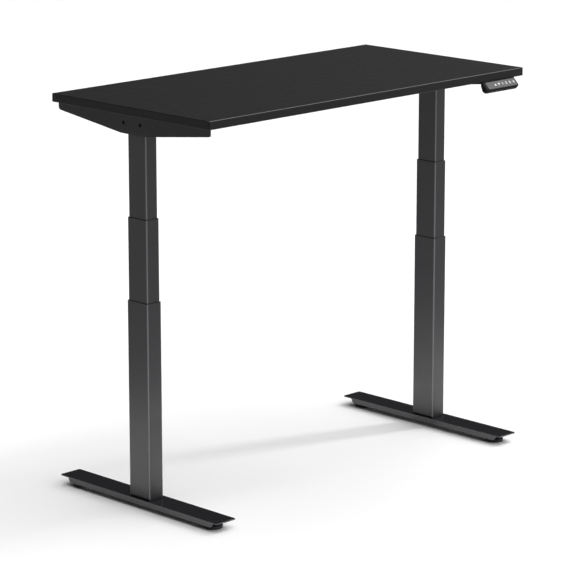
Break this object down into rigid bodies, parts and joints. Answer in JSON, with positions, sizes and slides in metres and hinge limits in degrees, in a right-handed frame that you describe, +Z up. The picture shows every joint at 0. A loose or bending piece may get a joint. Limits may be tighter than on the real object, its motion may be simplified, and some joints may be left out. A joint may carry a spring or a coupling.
{
  "type": "height adjustable standing desk",
  "caption": "Rectangular dark top on two telescopic square-tube columns with T-shaped feet, raised by motor-driven screws from a key handset under the front edge.",
  "frame": {"origin": "on the floor, under the centre of the whole desk's footprint", "axes": "+X along the top's width, to the user's right; +Y from the user to the back; +Z up"},
  "size_m": [1.22, 0.638, 1.094],
  "materials": {
    "desktop": "satin dark laminate",
    "frame_steel": "matt black powder coat",
    "foot_steel": "satin black powder coat",
    "tube_steel": "matt black powder coat",
    "screw_steel": "ground",
    "fastener_steel": "black oxide",
    "plated_steel": "zinc plated",
    "cast_housing": "as cast",
    "bronze": "machined",
    "acetal": "smooth",
    "black_plastic": "fine texture",
    "face_plastic": "satin",
    "key_plastic": "satin",
    "pad_rubber": "matt",
    "board": "lacquered"
  },
  "bodies": {
    "base": {"foot_left": "foot_steel", "foot_right": "foot_steel", "outer_tube_left": "tube_steel", "outer_tube_right": "tube_steel", "base_blocks": "tube_steel", "nut_posts": "plated_steel", "lower_nuts": "acetal", "outer_guides": "black_plastic", "foot_bolts": "fastener_steel"},
    "top": {"desktop_panel": "desktop", "side_bracket_left": "frame_steel", "side_bracket_right": "frame_steel", "column_head_left": "frame_steel", "column_head_right": "frame_steel", "inner_tube_left": "tube_steel", "inner_tube_right": "tube_steel", "gear_housing_left": "cast_housing", "gear_housing_right": "cast_housing", "motor_left": "black_plastic", "motor_right": "black_plastic", "rail_front": "frame_steel", "rail_back": "frame_steel", "bracket_bolts": "fastener_steel", "rail_bolts": "fastener_steel", "wood_screws": "fastener_steel", "control_box_case": "black_plastic", "control_box_cover": "black_plastic", "control_sockets": "black_plastic", "circuit_board": "board", "handset_housing": "black_plastic", "handset_face": "face_plastic", "inner_guides": "black_plastic", "gear_covers": "black_plastic", "thrust_bearings": "screw_steel"},
    "middle_left": {"middle_tube_left": "tube_steel", "carrier_post_left": "plated_steel", "upper_nut_left": "acetal", "middle_guides_left": "black_plastic"},
    "lower_screw_left": {"hollow_screw_left": "screw_steel"},
    "upper_screw_left": {"drive_screw_left": "screw_steel", "worm_wheel_left": "bronze"},
    "worm_shaft_left": {"worm_left": "screw_steel"},
    "middle_right": {"middle_tube_right": "tube_steel", "carrier_post_right": "plated_steel", "upper_nut_right": "acetal", "middle_guides_right": "black_plastic"},
    "lower_screw_right": {"hollow_screw_right": "screw_steel"},
    "upper_screw_right": {"drive_screw_right": "screw_steel", "worm_wheel_right": "bronze"},
    "worm_shaft_right": {"worm_right": "screw_steel"},
    "glide_front_left": {"leveller_front_left": "pad_rubber"},
    "glide_front_right": {"leveller_front_right": "pad_rubber"},
    "glide_back_left": {"leveller_back_left": "pad_rubber"},
    "glide_back_right": {"leveller_back_right": "pad_rubber"},
    "up_key": {"key_up": "key_plastic"},
    "down_key": {"key_down": "key_plastic"},
    "one_key": {"key_one": "key_plastic"},
    "two_key": {"key_two": "key_plastic"},
    "three_key": {"key_three": "key_plastic"},
    "four_key": {"key_four": "key_plastic"}
  },
  "joints": [
    {"name": "lift", "type": "slide", "parent": "base", "child": "top", "axis": [0, 0, 1], "range_m": [-0.43, 0.22]},
    {"name": "stage_left", "type": "slide", "parent": "base", "child": "middle_left", "axis": [0, 0, 1], "range_m": [-0.215, 0.11]},
    {"name": "lower_screw_left_spin", "type": "hinge", "parent": "middle_left", "child": "lower_screw_left", "pos_m": [-0.564, 0.005, 0.7], "axis": [0, 0, 1], "range_deg": [-9675.5, 4950.5]},
    {"name": "upper_screw_left_spin", "type": "hinge", "parent": "top", "child": "upper_screw_left", "pos_m": [-0.564, 0.005, 1.046], "axis": [0, 0, 1], "range_deg": [-9675.5, 4950.5]},
    {"name": "worm_left_spin", "type": "hinge", "parent": "top", "child": "worm_shaft_left", "pos_m": [-0.564, 0.026, 1.046], "axis": [1, 0, 0], "range_deg": [-193502, 99002]},
    {"name": "stage_right", "type": "slide", "parent": "base", "child": "middle_right", "axis": [0, 0, 1], "range_m": [-0.215, 0.11]},
    {"name": "lower_screw_right_spin", "type": "hinge", "parent": "middle_right", "child": "lower_screw_right", "pos_m": [0.564, 0.005, 0.7], "axis": [0, 0, 1], "range_deg": [-9675.5, 4950.5]},
    {"name": "upper_screw_right_spin", "type": "hinge", "parent": "top", "child": "upper_screw_right", "pos_m": [0.564, 0.005, 1.046], "axis": [0, 0, 1], "range_deg": [-9675.5, 4950.5]},
    {"name": "worm_right_spin", "type": "hinge", "parent": "top", "child": "worm_shaft_right", "pos_m": [0.564, 0.026, 1.046], "axis": [1, 0, 0], "range_deg": [-99002, 193502]},
    {"name": "glide_front_left_screw", "type": "slide", "parent": "base", "child": "glide_front_left", "axis": [0, 0, -1], "range_m": [0, 0.008]},
    {"name": "glide_front_right_screw", "type": "slide", "parent": "base", "child": "glide_front_right", "axis": [0, 0, -1], "range_m": [0, 0.008]},
    {"name": "glide_back_left_screw", "type": "slide", "parent": "base", "child": "glide_back_left", "axis": [0, 0, -1], "range_m": [0, 0.008]},
    {"name": "glide_back_right_screw", "type": "slide", "parent": "base", "child": "glide_back_right", "axis": [0, 0, -1], "range_m": [0, 0.008]},
    {"name": "up_key_press", "type": "slide", "parent": "top", "child": "up_key", "axis": [0, 0.7071, -0.7071], "range_m": [0, 0.0008], "stiffness_N_per_m": 1500, "springref_m": -0.0004},
    {"name": "down_key_press", "type": "slide", "parent": "top", "child": "down_key", "axis": [0, 0.7071, -0.7071], "range_m": [0, 0.0008], "stiffness_N_per_m": 1500, "springref_m": -0.0004},
    {"name": "one_key_press", "type": "slide", "parent": "top", "child": "one_key", "axis": [0, 0.7071, -0.7071], "range_m": [0, 0.0008], "stiffness_N_per_m": 1500, "springref_m": -0.0004},
    {"name": "two_key_press", "type": "slide", "parent": "top", "child": "two_key", "axis": [0, 0.7071, -0.7071], "range_m": [0, 0.0008], "stiffness_N_per_m": 1500, "springref_m": -0.0004},
    {"name": "three_key_press", "type": "slide", "parent": "top", "child": "three_key", "axis": [0, 0.7071, -0.7071], "range_m": [0, 0.0008], "stiffness_N_per_m": 1500, "springref_m": -0.0004},
    {"name": "four_key_press", "type": "slide", "parent": "top", "child": "four_key", "axis": [0, 0.7071, -0.7071], "range_m": [0, 0.0008], "stiffness_N_per_m": 1500, "springref_m": -0.0004}
  ],
  "couplings": [
    {"joint": "stage_left", "follows": "lift", "ratio": 0.5},
    {"joint": "lower_screw_left_spin", "follows": "lift", "rad_per_m": 392.7},
    {"joint": "upper_screw_left_spin", "follows": "lift", "rad_per_m": 392.7},
    {"joint": "worm_left_spin", "follows": "lift", "rad_per_m": 7854},
    {"joint": "stage_right", "follows": "lift", "ratio": 0.5},
    {"joint": "lower_screw_right_spin", "follows": "lift", "rad_per_m": 392.7},
    {"joint": "upper_screw_right_spin", "follows": "lift", "rad_per_m": 392.7},
    {"joint": "worm_right_spin", "follows": "lift", "rad_per_m": -7854}
  ]
}
